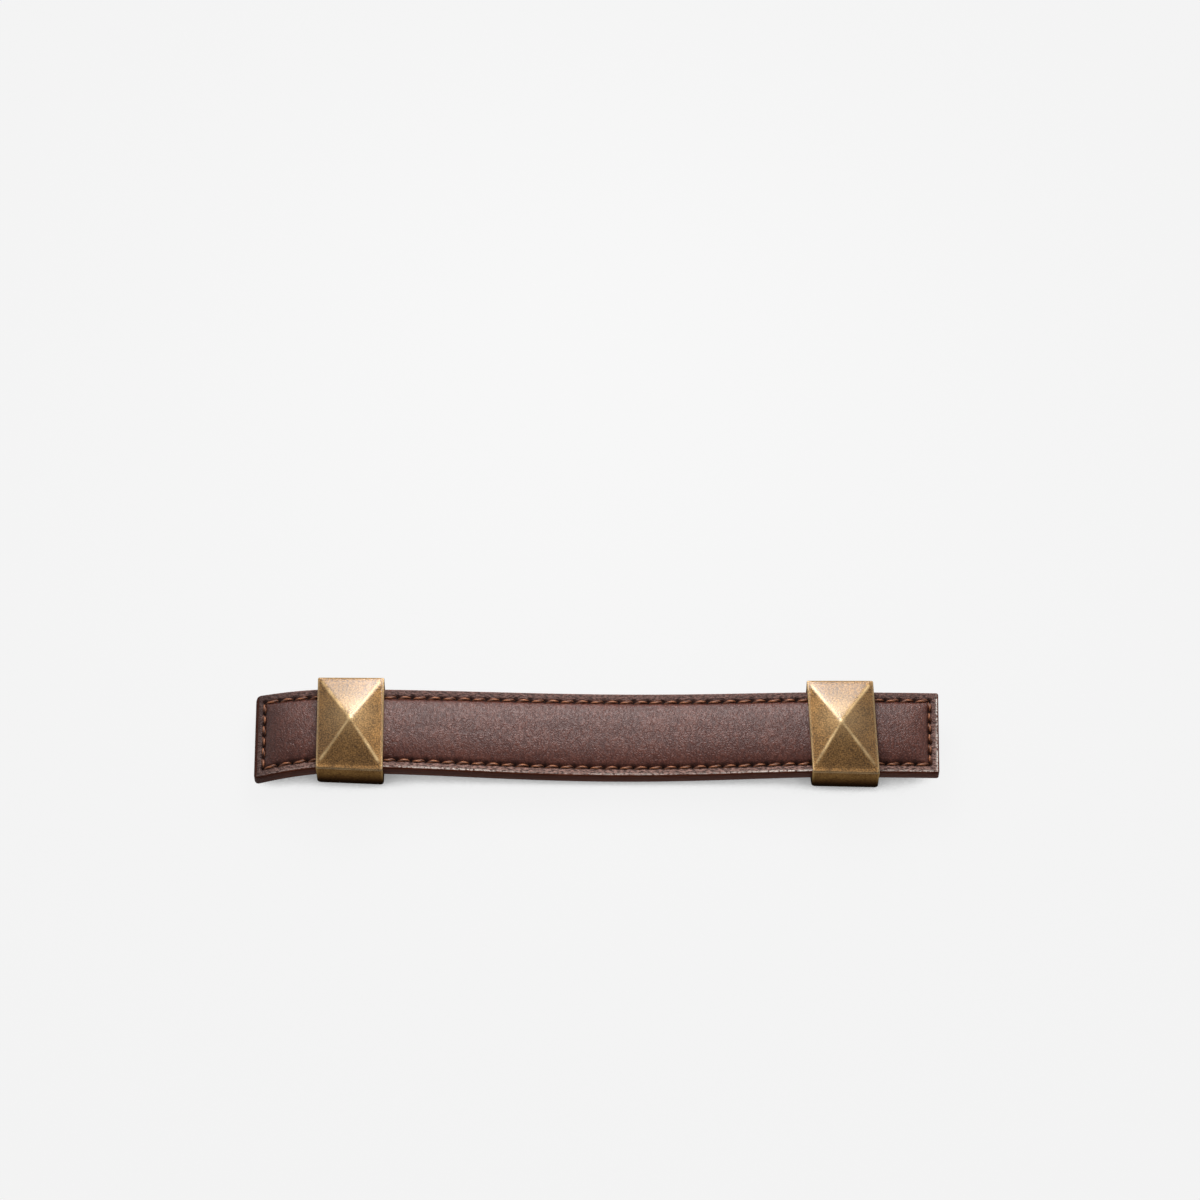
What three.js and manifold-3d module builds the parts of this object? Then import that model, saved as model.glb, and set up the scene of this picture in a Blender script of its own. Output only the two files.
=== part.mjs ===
// A leather strap pull: a padded, stitched strap that passes through two cast loops,
// each with a shallow pyramid on its front, which screw to a drawer front from behind.
// Sizes are millimetres. X runs along the strap, Y up the drawer front and Z out of it,
// with the drawer front at z = 0 and the origin midway between the two fixing holes.
import * as THREE from "three";
import { ConvexGeometry } from "three/addons/geometries/ConvexGeometry.js";
import { mergeVertices } from "three/addons/utils/BufferGeometryUtils.js";
import Module from "manifold-3d";

// The cast loops.
const holeSpacing = 128;
const loopWidth = 17.3; // along the strap
const backWall = 5.6; // drawer front to slot, deep enough for the screw's thread
const sideWall = 1.4;
const frontWall = 1.1; // slot to the foot of the pyramid
const pyramidHeight = 3.5;
const backRadius = 5; // the two long edges at the back
const edgeBreak = 0.5; // every other outer edge
const boreRadius = 1.65; // tapping size for an M4 screw
const rightLoopTurn = THREE.MathUtils.degToRad(1.5); // the right loop sits askew on the strap

// The strap.
const tailLength = 16.4; // beyond each loop
const strapWidth = 22.2; // inside the loops and at the ends
const widthSwell = 0.8; // extra width midway between the loops
const leatherThickness = 2.1; // each of the two leathers
const crownHeight = 1.4; // how far the padding lifts the face leather
const edgeRound = 0.35;
const strapSag = 3.5; // how far it falls back between the loops
const sagSkew = 0.3; // moves the lowest point towards the right loop
const leftDroop = 4; // fall of the left tail at its end
const rightDroop = 0.3; // fall of the right tail at its end
const leftSway = 1.2; // how far the left tail bends down the drawer front at its end
const leftFlare = 1.2; // extra width of the left tail at its end
const strapTwist = THREE.MathUtils.degToRad(1.5); // near edge up at the left loop, down at the right

// The stitching, one thread in front and one behind, each in a pressed groove.
const stitchInset = 2.35; // strap edge to stitch line
const stitchesAlong = 45;
const stitchesAcross = 6;
const threadRadius = 0.33;
const grooveDepth = 0.75;
const frontStitchRise = 0.35; // middle of a stitch over its ends
const backStitchRise = 0.1;

// Clearances.
const gap = 0.3; // between pieces that touch
const slotPlay = 0.8; // strap to slot, in front and behind

const strapLength = holeSpacing + loopWidth + 2 * tailLength;
const edgeThickness = 2 * leatherThickness + gap;
const strapLift = backWall + slotPlay; // back of the strap inside the loops
const slotHigh = strapLift + edgeThickness + crownHeight + slotPlay;
const slotHalf = strapWidth / 2 + gap + (loopWidth / 2) * Math.sin(Math.abs(rightLoopTurn));
const rimHeight = slotHigh + frontWall;
const loopHeight = 2 * (slotHalf + sideWall);
const grooveHalf = threadRadius + gap + 0.12;
const seamInner = stitchInset + grooveHalf; // where the padded crown begins
const crownReach = strapWidth / 2 - seamInner;

const wasm = await Module();
wasm.setup();

function solid(geometry) {
  geometry.deleteAttribute("normal");
  geometry.deleteAttribute("uv");
  const merged = mergeVertices(geometry, 1e-4);
  return new wasm.Manifold(
    new wasm.Mesh({
      numProp: 3,
      vertProperties: merged.attributes.position.array,
      triVerts: new Uint32Array(merged.index.array),
    }),
  );
}

function geometryOf(body) {
  const mesh = body.getMesh();
  const geometry = new THREE.BufferGeometry();
  geometry.setAttribute("position", new THREE.BufferAttribute(mesh.vertProperties, 3));
  geometry.setIndex(new THREE.BufferAttribute(mesh.triVerts, 1));
  return geometry;
}

// The loop's outside is convex: a block with two well rounded back edges, its other edges
// broken, under a four-sided pyramid.
function loopOutside() {
  const points = [new THREE.Vector3(0, 0, rimHeight + pyramidHeight)];
  const arcSteps = 8;
  for (const sideX of [-1, 1]) {
    for (const inset of [0, edgeBreak]) {
      const x = sideX * (loopWidth / 2 - edgeBreak + inset);
      for (const sideY of [-1, 1]) {
        for (let step = 0; step <= arcSteps; step += 1) {
          const angle = (step / arcSteps) * (Math.PI / 2);
          const y = loopHeight / 2 - backRadius + (backRadius - inset) * Math.cos(angle);
          const z = backRadius - (backRadius - inset) * Math.sin(angle);
          points.push(new THREE.Vector3(x, sideY * y, z));
        }
        const y = sideY * (loopHeight / 2 - inset);
        points.push(new THREE.Vector3(x, y, rimHeight - edgeBreak));
      }
    }
    for (const sideY of [-1, 1]) {
      const x = sideX * (loopWidth / 2 - edgeBreak);
      points.push(new THREE.Vector3(x, sideY * (loopHeight / 2 - edgeBreak), rimHeight));
    }
  }
  return new ConvexGeometry(points);
}

// The slot runs right through the loop along X, wide enough for a loop turned on the strap.
function loopSlot() {
  const corner = 1;
  const side = slotHalf - corner;
  const outline = new THREE.Shape();
  outline.moveTo(-side, backWall);
  outline.lineTo(side, backWall);
  outline.absarc(side, backWall + corner, corner, -Math.PI / 2, 0);
  outline.absarc(side, slotHigh - corner, corner, 0, Math.PI / 2);
  outline.absarc(-side, slotHigh - corner, corner, Math.PI / 2, Math.PI);
  outline.absarc(-side, backWall + corner, corner, Math.PI, Math.PI * 1.5);
  const depth = loopWidth + 2;
  const geometry = new THREE.ExtrudeGeometry(outline, {
    depth,
    bevelEnabled: false,
    curveSegments: 4,
  });
  const turn = new THREE.Matrix4().makeBasis(
    new THREE.Vector3(0, 1, 0),
    new THREE.Vector3(0, 0, 1),
    new THREE.Vector3(1, 0, 0),
  );
  return geometry.applyMatrix4(turn).translate(-depth / 2, 0, 0);
}

// The tapped hole goes from the flat back into the slot.
function loopBore() {
  const past = 1;
  const length = backWall + 2 * past;
  const geometry = new THREE.CylinderGeometry(boreRadius, boreRadius, length, 24);
  return geometry.rotateX(Math.PI / 2).translate(0, 0, length / 2 - past);
}

function loopGeometry() {
  return geometryOf(
    solid(loopOutside()).subtract(solid(loopSlot())).subtract(solid(loopBore())),
  );
}

// Position along the strap as a fraction: -1 at the left loop, 1 at the right loop.
const alongOf = (x) => x / (holeSpacing / 2);

// Position along a tail as a fraction: 0 in the loop, 1 at the end of the strap.
function tailOf(x) {
  const tailStart = (holeSpacing + loopWidth / 2) / 2;
  return Math.max(0, (Math.abs(x) - tailStart) / (strapLength / 2 - tailStart));
}

function strapHalf(x) {
  const along = Math.min(1, Math.abs(alongOf(x)));
  const flare = x < 0 ? leftFlare * tailOf(x) ** 1.5 : 0;
  return (strapWidth + flare + widthSwell * (1 - along ** 2) ** 2) / 2;
}

// Height of the strap's back over the drawer front: level in the loops, sagging between
// them, and falling away along each tail.
function strapBack(x) {
  const along = alongOf(x);
  if (Math.abs(along) < 1) {
    return strapLift - strapSag * (1 - along ** 2) ** 2 * (1 + sagSkew * along);
  }
  return strapLift - (x < 0 ? leftDroop : rightDroop) * tailOf(x) ** 1.8;
}

// Puts a point of the flat strap (x along, y across, z through it) where it lies in space.
function onStrap(x, y, z) {
  const roll = -strapTwist * THREE.MathUtils.clamp(alongOf(x), -1, 1);
  const sway = x < 0 ? leftSway * tailOf(x) ** 1.5 : 0;
  return new THREE.Vector3(
    x,
    y * Math.cos(roll) + z * Math.sin(roll) - sway,
    strapBack(x) - y * Math.sin(roll) + z * Math.cos(roll),
  );
}

// How far the padding lifts the face leather at a distance in from the strap's edge.
function crown(inset) {
  const reach = THREE.MathUtils.clamp((inset - seamInner) / crownReach, 0, 1);
  return crownHeight * Math.sin((reach * Math.PI) / 2);
}

// Depth of the stitching groove at a distance in from the strap's edge.
function groove(inset) {
  const off = Math.abs(inset - stitchInset);
  return off < grooveHalf - 0.15 ? grooveDepth : 0;
}

// A sheet of the strap as one closed body. Its plan is a grid with lines at the given
// distances in from all four edges, so ridges and grooves turn the corners on a mitre;
// top and bottom give the heights of its two faces at a distance in from the edge.
function sheet(insets, middleSteps, margin, top, bottom) {
  const deepest = insets[insets.length - 1];
  const endX = strapLength / 2 - margin;
  const columns = insets.map((inset) => -endX + inset);
  for (let step = 1; step < middleSteps; step += 1) {
    columns.push(THREE.MathUtils.lerp(-endX + deepest, endX - deepest, step / middleSteps));
  }
  columns.push(...insets.map((inset) => endX - inset).reverse());
  const rows = insets.map((inset) => -1 + inset / deepest);
  rows.push(...rows.slice(0, -1).map((row) => -row).reverse());

  const points = [];
  const addLayer = (height) => {
    for (const x of columns) {
      const half = strapHalf(x) - margin;
      const fromEnd = endX - Math.abs(x);
      rows.forEach((row) => {
        const fromSide = (1 - Math.abs(row)) * deepest;
        const stretched = Math.min(fromSide, insets[insets.length - 2]);
        const y = Math.sign(row) * (half - stretched);
        const inset = margin + Math.min(fromEnd, fromSide);
        points.push(...onStrap(x, Math.abs(row) < 1e-9 ? 0 : y, height(inset)).toArray());
      });
    }
  };
  addLayer(top);
  addLayer(bottom);

  const across = rows.length;
  const layer = columns.length * across;
  const at = (column, row) => column * across + row;
  const faces = [];
  for (let i = 0; i + 1 < columns.length; i += 1) {
    for (let j = 0; j + 1 < across; j += 1) {
      const [a, b, c, d] = [at(i, j), at(i + 1, j), at(i + 1, j + 1), at(i, j + 1)];
      const rising = (columns[i] + columns[i + 1]) * (rows[j] + rows[j + 1]) > 0;
      const halves = rising ? [[a, b, c], [a, c, d]] : [[a, b, d], [b, c, d]];
      for (const [p, q, r] of halves) {
        faces.push(p, q, r, layer + p, layer + r, layer + q);
      }
    }
  }
  const last = columns.length - 1;
  const edge = [];
  for (let i = 0; i < last; i += 1) edge.push(at(i, 0));
  for (let j = 0; j < across - 1; j += 1) edge.push(at(last, j));
  for (let i = last; i > 0; i -= 1) edge.push(at(i, across - 1));
  for (let j = across - 1; j > 0; j -= 1) edge.push(at(0, j));
  edge.forEach((a, k) => {
    const b = edge[(k + 1) % edge.length];
    faces.push(a, layer + a, layer + b, a, layer + b, b);
  });
  const geometry = new THREE.BufferGeometry();
  geometry.setAttribute("position", new THREE.Float32BufferAttribute(points, 3));
  geometry.setIndex(faces);
  return geometry;
}

const grooveLines = [
  stitchInset - grooveHalf,
  stitchInset - grooveHalf + 0.2,
  stitchInset + grooveHalf - 0.2,
  seamInner,
];
const crownLines = [0.15, 0.4, 1].map((part) => seamInner + part * crownReach);

function faceLeather() {
  const lines = [0, edgeRound, ...grooveLines, ...crownLines];
  const round = (inset) => (inset < edgeRound ? edgeRound / 2 : 0);
  return sheet(
    lines,
    18,
    0,
    (inset) => edgeThickness + crown(inset) - groove(inset) - round(inset),
    (inset) => leatherThickness + gap + crown(inset),
  );
}

function backLeather() {
  const lines = [0, ...grooveLines, strapWidth / 2];
  return sheet(lines, 18, 0, () => leatherThickness, groove);
}

// The padding stops where there is too little room for it under the face leather.
function paddingCore() {
  const margin = seamInner + 0.3 * crownReach;
  const reach = strapWidth / 2 - margin;
  return sheet(
    [0, 0.4 * reach, reach],
    14,
    margin,
    (inset) => leatherThickness + crown(inset),
    () => leatherThickness + gap,
  );
}

// One thread of the seam, a closed round of stitches that rise between their two holes.
// The face is 1 for the front of the strap and -1 for its back.
function seamThread(face, rise, stepsPerStitch) {
  const seat = threadRadius + gap - grooveDepth;
  const surface = face > 0 ? edgeThickness : 0;
  const endX = strapLength / 2 - stitchInset;
  const inSide = 1 - stitchInset / (strapWidth / 2);
  const corners = [
    [-1, -1],
    [1, -1],
    [1, 1],
    [-1, 1],
  ];
  const path = [];
  corners.forEach(([fromX, fromY], side) => {
    const [toX, toY] = corners[(side + 1) % corners.length];
    const steps = (side % 2 ? stitchesAcross : stitchesAlong) * stepsPerStitch;
    for (let step = 0; step < steps; step += 1) {
      const x = THREE.MathUtils.lerp(fromX, toX, step / steps) * endX;
      const row = THREE.MathUtils.lerp(fromY, toY, step / steps);
      const swell = strapHalf(x) - strapWidth / 2;
      const arch = Math.abs(Math.sin((Math.PI * step) / stepsPerStitch));
      const y = row * ((strapWidth / 2) * inSide + swell);
      path.push(new THREE.Vector3(x, y, surface + face * (seat + rise * arch)));
    }
  });
  const points = [];
  const faces = [];
  const sides = 4;
  path.forEach((centre, i) => {
    const before = path[(i + path.length - 1) % path.length];
    const after = path[(i + 1) % path.length];
    const forward = after.clone().sub(before).setZ(0).normalize();
    const outward = new THREE.Vector3(forward.y, -forward.x, 0);
    for (let k = 0; k < sides; k += 1) {
      const angle = (k / sides) * Math.PI * 2;
      const corner = centre.clone().addScaledVector(outward, threadRadius * Math.cos(angle));
      corner.z += threadRadius * Math.sin(angle);
      points.push(...onStrap(corner.x, corner.y, corner.z).toArray());
      const next = (i + 1) % path.length;
      const [a, b] = [i * sides + k, next * sides + k];
      const [c, d] = [next * sides + ((k + 1) % sides), i * sides + ((k + 1) % sides)];
      faces.push(a, b, c, a, c, d);
    }
  });
  const geometry = new THREE.BufferGeometry();
  geometry.setAttribute("position", new THREE.Float32BufferAttribute(points, 3));
  geometry.setIndex(faces);
  return geometry;
}

const pull = new THREE.Group();

function addPiece(name, geometry, color, roughness, metalness) {
  geometry.computeVertexNormals();
  const material = new THREE.MeshStandardMaterial({ color, roughness, metalness });
  const mesh = new THREE.Mesh(geometry, material);
  mesh.name = name;
  pull.add(mesh);
  return mesh;
}

const leftLoop = addPiece("left_loop", loopGeometry(), "#8f7544", 0.42, 0.9);
leftLoop.position.x = -holeSpacing / 2;
const rightLoop = addPiece("right_loop", loopGeometry(), "#8f7544", 0.42, 0.9);
rightLoop.position.x = holeSpacing / 2;
rightLoop.rotation.z = rightLoopTurn;
addPiece("face_leather", faceLeather(), "#4b3a35", 0.6, 0);
addPiece("padding_core", paddingCore(), "#8c8072", 0.95, 0);
addPiece("back_leather", backLeather(), "#5a4334", 0.75, 0);
addPiece("needle_thread", seamThread(1, frontStitchRise, 4), "#b06c3c", 0.7, 0);
addPiece("bobbin_thread", seamThread(-1, backStitchRise, 2), "#8a5532", 0.7, 0);

export default pull;
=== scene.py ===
import bpy
import numpy as np
from mathutils import Matrix


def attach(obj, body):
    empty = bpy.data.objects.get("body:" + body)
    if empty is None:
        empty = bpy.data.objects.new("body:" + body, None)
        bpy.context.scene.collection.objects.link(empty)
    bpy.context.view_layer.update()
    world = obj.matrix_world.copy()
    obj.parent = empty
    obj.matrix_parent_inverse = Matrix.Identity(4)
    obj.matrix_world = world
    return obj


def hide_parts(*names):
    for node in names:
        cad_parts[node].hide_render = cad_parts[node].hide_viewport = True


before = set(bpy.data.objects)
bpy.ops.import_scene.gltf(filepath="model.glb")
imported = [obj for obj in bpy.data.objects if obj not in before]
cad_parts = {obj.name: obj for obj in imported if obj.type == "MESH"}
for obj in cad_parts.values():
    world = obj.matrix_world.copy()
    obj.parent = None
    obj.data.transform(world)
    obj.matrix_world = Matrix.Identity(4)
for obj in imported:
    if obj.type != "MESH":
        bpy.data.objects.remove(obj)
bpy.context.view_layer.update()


# Lining leather: the strap's plain back, cut from 2.25 mm vegetable-tanned hide.
# It is glued and stitched behind the face leather, and the two cut edges are rounded,
# burnished and painted as one, so from the side the strap looks like a single thickness.

# Lengths in mm: sizes of the flat strap first, then those of the curve in which it lies.
HOLE_SPACING = 128.0
LOOP_WIDTH = 17.3
TAIL_LENGTH = 16.4
STRAP_LENGTH = HOLE_SPACING + LOOP_WIDTH + 2 * TAIL_LENGTH
STRAP_WIDTH = 22.2
SWELLING = 0.8
LEFT_FLARE = 1.2
LEFT_CORNER, RIGHT_CORNER = 1.4, 0.6
EDGE_THICKNESS = 4.5
SPLIT = EDGE_THICKNESS / 2
EDGE_ROUND, LEFT_END_ROUND = 0.5, 1.2
STITCH_INSET = 2.35
GROOVE_DEPTH, GROOVE_WIDTH = 0.5, 0.45
LINE_GAP = 0.34
FRAY_DEPTH = 0.14
BORDER_REACH = 4.1
END_REACH = 6.5
BACK_HEIGHT = 6.4
SAG, SAG_SKEW = 3.5, 0.3
LEFT_DROP, RIGHT_DROP = 4.0, 0.3
LEFT_SWAY = 1.2
ROLL_DEGREES = 1.5


def tail(x):
    """0 inside the loops, rising to 1 at the end of each tail."""
    start = (HOLE_SPACING + LOOP_WIDTH / 2) / 2
    return np.clip((np.abs(x) - start) / (STRAP_LENGTH / 2 - start), 0, 1)


def quarter_round(inset, radius):
    """Depth of a rounded edge below the flat at a distance d in: r - sqrt(r^2 - (r - d)^2)."""
    reach = np.clip(radius - inset, 0, radius)
    return radius - np.sqrt(radius**2 - reach**2)


def half_width(x):
    """Half of the width, which is 22.2 mm, and more by 0.8 (1 - a^2)^2 between the loops and by
    1.2 t^1.5 in the left tail, where a = x / 64 and t is the share of the tail.

    Corners are arcs of radius r = 1.4 mm at the left end and 0.6 mm at the right end, so the
    half width loses r - sqrt(r^2 - (r - d)^2) at a distance d < r from an end.
    """
    along = np.minimum(1, np.abs(x) / (HOLE_SPACING / 2))
    flare = np.where(x < 0, LEFT_FLARE * tail(x) ** 1.5, 0)
    radius = np.where(x < 0, LEFT_CORNER, RIGHT_CORNER)
    corner = quarter_round(STRAP_LENGTH / 2 - np.abs(x), radius)
    return (STRAP_WIDTH + flare + SWELLING * (1 - along**2) ** 2) / 2 - corner


def lay(flat):
    """Bends points of the flat strap, in mm, into the curve in which it lies.

    The back's height is 6.4 in the loops, less 3.5 (1 - a^2)^2 (1 + 0.3 a) between them,
    with a = x / 64, and less 4 t^1.8 or 0.3 t^1.8 along the left or right tail. The strap
    rolls by 1.5 a degrees, and its left tail sways by 1.2 t^1.5 down the drawer front.
    """
    x, y, z = flat[..., 0], flat[..., 1], flat[..., 2]
    a = x / (HOLE_SPACING / 2)
    t = tail(x)
    sag = SAG * (1 - np.clip(np.abs(a), 0, 1) ** 2) ** 2 * (1 + SAG_SKEW * a)
    back = BACK_HEIGHT - sag - np.where(x < 0, LEFT_DROP, RIGHT_DROP) * t**1.8
    roll = -np.radians(ROLL_DEGREES) * np.clip(a, -1, 1)
    sway = np.where(x < 0, LEFT_SWAY * t**1.5, 0)
    up = y * np.cos(roll) + z * np.sin(roll) - sway
    return np.stack([x, up, back - y * np.sin(roll) + z * np.cos(roll)], axis=-1)


def rings_to_faces(rings, ring, closed):
    """Quads between neighbouring rings of points; closed joins the last ring to the first."""
    i, j = np.meshgrid(np.arange(rings if closed else rings - 1), np.arange(ring), indexing="ij")
    n, k = (i + 1) % rings, (j + 1) % ring
    quads = np.stack([i * ring + j, n * ring + j, n * ring + k, i * ring + k], axis=-1)
    return quads.reshape(-1, 4).tolist()


def paint(piece, **patterns):
    """Adds a point attribute for each named array: vectors where it has three values a point."""
    for label, values in patterns.items():
        vector = values.size == 3 * len(piece.data.vertices)
        kind, field = ("FLOAT_VECTOR", "vector") if vector else ("FLOAT", "value")
        layer = piece.data.attributes.new(label, kind, "POINT")
        layer.data.foreach_set(field, values.astype(np.float32).ravel())


def make_piece(name, points, faces, sharp_degrees, **patterns):
    """A smooth-faced object from points in mm, painted with the named patterns."""
    mesh = bpy.data.meshes.new(name)
    mesh.from_pydata((points.reshape(-1, 3) / 1000).tolist(), [], faces)
    mesh.polygons.foreach_set("use_smooth", np.ones(len(mesh.polygons), bool))
    mesh.set_sharp_from_angle(angle=np.radians(sharp_degrees))
    piece = bpy.data.objects.new(name, mesh)
    bpy.context.scene.collection.objects.link(piece)
    paint(piece, **patterns)
    return piece


def flat_places(piece):
    """x, y and z in mm of a strap piece's points, as they are on the flat strap."""
    points = np.zeros(len(piece.data.vertices) * 3, np.float32)
    piece.data.attributes["flat"].data.foreach_get("vector", points)
    return points.reshape(-1, 3).T.astype(float)


# Lines along the strap: close together round the end edges, then 0.34 mm apart.
round_steps = EDGE_ROUND * (1 - np.cos(np.linspace(0, np.pi / 2, 5)))
end_lines = np.concatenate([round_steps, np.linspace(EDGE_ROUND, END_REACH, 22)[1:]])
middle_end = STRAP_LENGTH / 2 - end_lines[-1]
middle_lines = np.linspace(-middle_end, middle_end, int(middle_end / (LINE_GAP / 2)))
stations = np.concatenate(
    [end_lines - STRAP_LENGTH / 2, middle_lines[1:-1], (STRAP_LENGTH / 2 - end_lines)[::-1]]
)
border_lines = np.concatenate([round_steps, np.linspace(EDGE_ROUND, BORDER_REACH, 14)[1:]])
fray = FRAY_DEPTH * np.random.default_rng(4).random(len(stations)) ** 2


def across(edge_lines, shares):
    """Places across the strap: distances in from both edges, and shares of the half width between.

    The far edge is less well finished, so it is cut back by up to 0.14 mm in loose fibres,
    and the lines inside it close up evenly as far as 4.1 mm in.
    """
    half = half_width(stations)[:, None]
    near = -half + edge_lines
    far = half - edge_lines - fray[:, None] * (1 - edge_lines / BORDER_REACH)
    return np.concatenate([near, half * shares, far[:, ::-1]], axis=1)


def rounded_over(x, side, end):
    """Edge rounding of 0.5 mm along the sides and right end, and of 1.2 mm on the left end."""
    at_end = quarter_round(end, np.where(x < 0, LEFT_END_ROUND, EDGE_ROUND))
    return np.maximum(quarter_round(side, EDGE_ROUND), at_end)


def leather_sheet(name, upper_y, upper_height, lower_y, lower_height):
    """One leather as a closed body: a section carried along the strap, with flat end faces.

    Heights are functions of x, y and the distance in from the long edge and from the end.
    """
    x = stations[:, None]

    def surface(y, height):
        side = half_width(x) - np.abs(y)
        end = STRAP_LENGTH / 2 - np.abs(x) + 0 * y
        return np.stack([x + 0 * y, y, height(x, y, side, end)], axis=-1), np.minimum(side, end)

    upper, upper_inset = surface(upper_y, upper_height)
    lower, lower_inset = surface(lower_y[:, ::-1], lower_height)
    flat = np.concatenate([upper, lower], axis=1)
    inset = np.concatenate([upper_inset, lower_inset], axis=1)
    rings, ring = inset.shape
    faces = rings_to_faces(rings, ring, closed=False)
    faces.append(list(range(ring)))
    faces.append(list(range((rings - 1) * ring, rings * ring))[::-1])
    return make_piece(name, lay(flat), faces, 50, flat=flat, inset=inset)


def lining_back(x, y, side, end):
    """Rounded at the edges, with a pressed groove 0.5 mm deep along the stitch line."""
    inset = np.minimum(side, end)
    groove = GROOVE_DEPTH * np.exp(-(((inset - STITCH_INSET) / GROOVE_WIDTH) ** 2))
    return rounded_over(x, side, end) + groove


lining_leather = leather_sheet(
    "lining_leather",
    across(np.array([0.0]), np.array([0.0])),
    lambda x, y, side, end: SPLIT + 0 * side,
    across(border_lines, np.linspace(-0.6, 0.6, 5)),
    lining_back,
)


def linear(code):
    """An sRGB hex colour as the linear RGBA that shaders take."""
    srgb = np.array([int(code[k : k + 2], 16) for k in (0, 2, 4)]) / 255
    value = np.where(srgb <= 0.04045, srgb / 12.92, ((srgb + 0.055) / 1.055) ** 2.4)
    return (*value.tolist(), 1.0)


def add_node(tree, kind, inputs=(), **settings):
    """Adds a shader node with its settings; sockets take a value or another node's output."""
    node = tree.nodes.new(kind)
    for setting, value in settings.items():
        setattr(node, setting, value)
    for socket, value in dict(inputs).items():
        if isinstance(value, bpy.types.NodeSocket):
            tree.links.new(value, node.inputs[socket])
        else:
            node.inputs[socket].default_value = value
    return node


def attribute(tree, name, output="Fac"):
    """The value, or the vector, that was painted on a piece under a name."""
    return add_node(tree, "ShaderNodeAttribute", attribute_name=name).outputs[output]


def noise(tree, place, scale, detail, roughness=0.5, output="Fac"):
    """A noise pattern whose broadest features are 1 / scale apart, in the units of place."""
    inputs = {"Vector": place, "Scale": scale, "Detail": detail, "Roughness": roughness}
    return add_node(tree, "ShaderNodeTexNoise", inputs).outputs[output]


def spread(tree, value, low, high, to_low=0.0, to_high=1.0, **settings):
    """A value held between low and high, and spread over the range from to_low to to_high."""
    inputs = {"Value": value, "From Min": low, "From Max": high}
    inputs.update({"To Min": to_low, "To Max": to_high})
    return add_node(tree, "ShaderNodeMapRange", inputs, **settings).outputs[0]


def calculate(tree, operation, *terms, **settings):
    """The result of a math operation on its terms."""
    settings["operation"] = operation
    return add_node(tree, "ShaderNodeMath", dict(enumerate(terms)), **settings).outputs[0]


def blend(tree, share, first, second):
    """A colour a share of the way from a first one to a second, each a hex code or an output."""
    ends = [linear(colour) if isinstance(colour, str) else colour for colour in (first, second)]
    inputs = {0: share, 6: ends[0], 7: ends[1]}
    return add_node(tree, "ShaderNodeMix", inputs, data_type="RGBA").outputs[2]


def bump(tree, height, strength, distance, **below):
    """The normal of a relief that rises by a distance in metres from a height of 0 to 1."""
    inputs = {"Height": height, "Strength": strength, "Distance": distance, **below}
    return add_node(tree, "ShaderNodeBump", inputs).outputs["Normal"]


def new_finish(name, **shader):
    """A material with one Principled shader; keyword names are its sockets with _ for spaces."""
    material = bpy.data.materials.new(name)
    material.use_nodes = True
    bsdf = material.node_tree.nodes["Principled BSDF"]
    for socket, value in shader.items():
        bsdf.inputs[socket.replace("_", " ")].default_value = value
    return material, material.node_tree, bsdf


# Vegetable-tanned lining, matt: cloudy dye, and short fibres about 0.3 mm apart. A noise
# of scale 1 on coordinates in mm has features about 1 mm apart.
lining, tree, bsdf = new_finish("vegetable_tanned_lining", Roughness=0.75, Specular_IOR_Level=0.3)
flat = attribute(tree, "flat", "Vector")
cloud = spread(tree, noise(tree, flat, 0.3, 6.0), 0.3, 0.7)
tree.links.new(blend(tree, cloud, "5b3d30", "6f4d3d"), bsdf.inputs["Base Color"])
fibre = noise(tree, flat, 3.0, 5.0)
tree.links.new(bump(tree, fibre, 0.35, 0.0002), bsdf.inputs["Normal"])


# Edge paint over burnished edges: a dark red-brown skin, satin, streaked along the strap
# where the burnisher ran, with a slightly darker joint between the two leathers. It is
# darkest on the left end, which is painted shade on the end face.
JOINT_HALF = 0.12
DARK_END_X, DARK_FADES_X = -88.6, -80.0

edge_paint, tree, bsdf = new_finish(
    "burnished_edge_paint", Roughness=0.65, Specular_IOR_Level=0.1
)
flat = attribute(tree, "flat", "Vector")
drawn_out = add_node(tree, "ShaderNodeMapping", {"Vector": flat, "Scale": (0.25, 2.0, 2.0)})
streak = noise(tree, drawn_out.outputs[0], 1.2, 4.0)
skin_tone = blend(tree, spread(tree, streak, 0.3, 0.7), "562819", "79412c")
place = add_node(tree, "ShaderNodeSeparateXYZ", {"Vector": flat})
at_joint = calculate(tree, "COMPARE", place.outputs["Z"], SPLIT, JOINT_HALF)
jointed = blend(tree, calculate(tree, "MULTIPLY", at_joint, 0.5), skin_tone, "2a130d")
# Darker towards the left end: painted shade on the left end face.
at_left_end = spread(tree, place.outputs["X"], DARK_END_X, DARK_FADES_X, 0.8, 0.0)
tree.links.new(blend(tree, at_left_end, jointed, "3a1c14"), bsdf.inputs["Base Color"])
tree.links.new(bump(tree, streak, 1.0, 0.0001), bsdf.inputs["Normal"])

PAINT_REACH = 0.32
LEFT_END_REACH = 0.7


def finish_leather(piece, finish):
    """Gives a leather its finish, and edge paint to each face that lies within 0.32 mm of its
    outline, or within 1.02 mm of its left end."""
    mesh = piece.data
    mesh.materials.append(finish)
    mesh.materials.append(edge_paint)
    x, y, _ = flat_places(piece)
    end = STRAP_LENGTH / 2 - np.abs(x) - np.where(x < 0, LEFT_END_REACH, 0)
    run = np.minimum(half_width(x) - np.abs(y), end)
    corners = np.zeros(len(mesh.loops), np.int32)
    starts = np.zeros(len(mesh.polygons), np.int32)
    mesh.loops.foreach_get("vertex_index", corners)
    mesh.polygons.foreach_get("loop_start", starts)
    deepest = np.maximum.reduceat(run[corners], starts)
    mesh.polygons.foreach_set("material_index", (deepest < PAINT_REACH).astype(np.int32))


finish_leather(lining_leather, lining)
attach(lining_leather, "root")
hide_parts("back_leather")


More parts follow.
